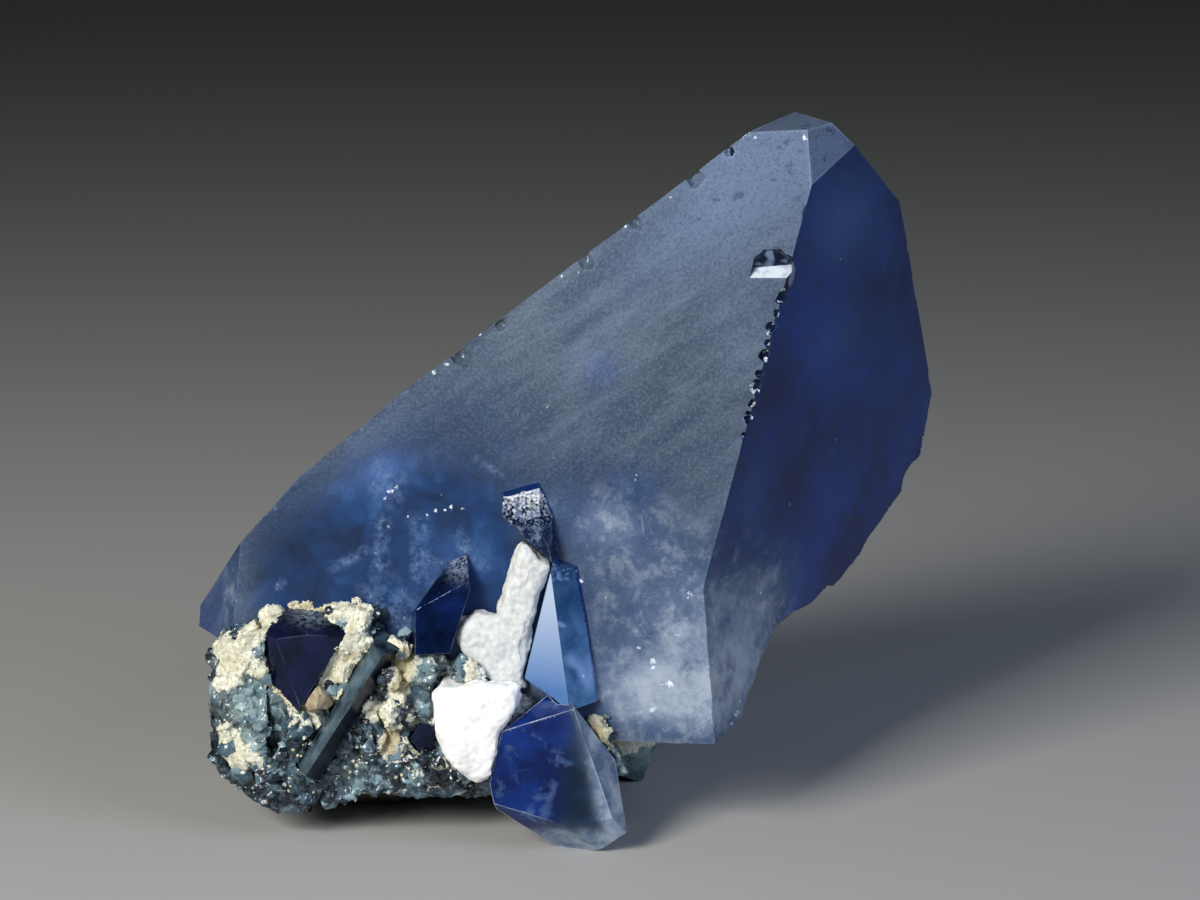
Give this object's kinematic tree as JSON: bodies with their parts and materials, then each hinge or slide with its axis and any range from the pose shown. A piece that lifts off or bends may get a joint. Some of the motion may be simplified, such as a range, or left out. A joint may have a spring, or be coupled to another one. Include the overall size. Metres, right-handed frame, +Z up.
{
  "type": "benitoite crystal specimen",
  "caption": "Blue triangular gem crystal on a scrap of glassy rock, with white granular mineral and smaller crystals at its foot; stands on a flat surface for display",
  "frame": {"origin": "middle of the bottom of the specimen's box, on the floor it stands on", "axes": "+Z up; -Y is the way the large pale face of the big crystal looks; +X is towards the big crystal's glossy right face and its broken right rim"},
  "size_m": [0.021, 0.0122, 0.0198],
  "materials": {
    "blue_crystal": "clear deep blue, glossy with frosted front face",
    "dark_crystal": "nearly black blue, glossy",
    "white_stone": "fine sugary grains, matt",
    "beige_stone": "waxy",
    "grey_stone": "rough, glassy grains"
  },
  "bodies": {
    "root": {"main_crystal": "blue_crystal", "small_crystal": "blue_crystal", "triangular_crystal": "dark_crystal", "blade_crystal": "dark_crystal", "boot_crystal": "dark_crystal", "beige_grain": "beige_stone", "purple_grain": "dark_crystal", "natrolite_vein": "white_stone", "natrolite_lump": "white_stone", "matrix": "grey_stone"}
  },
  "joints": []
}
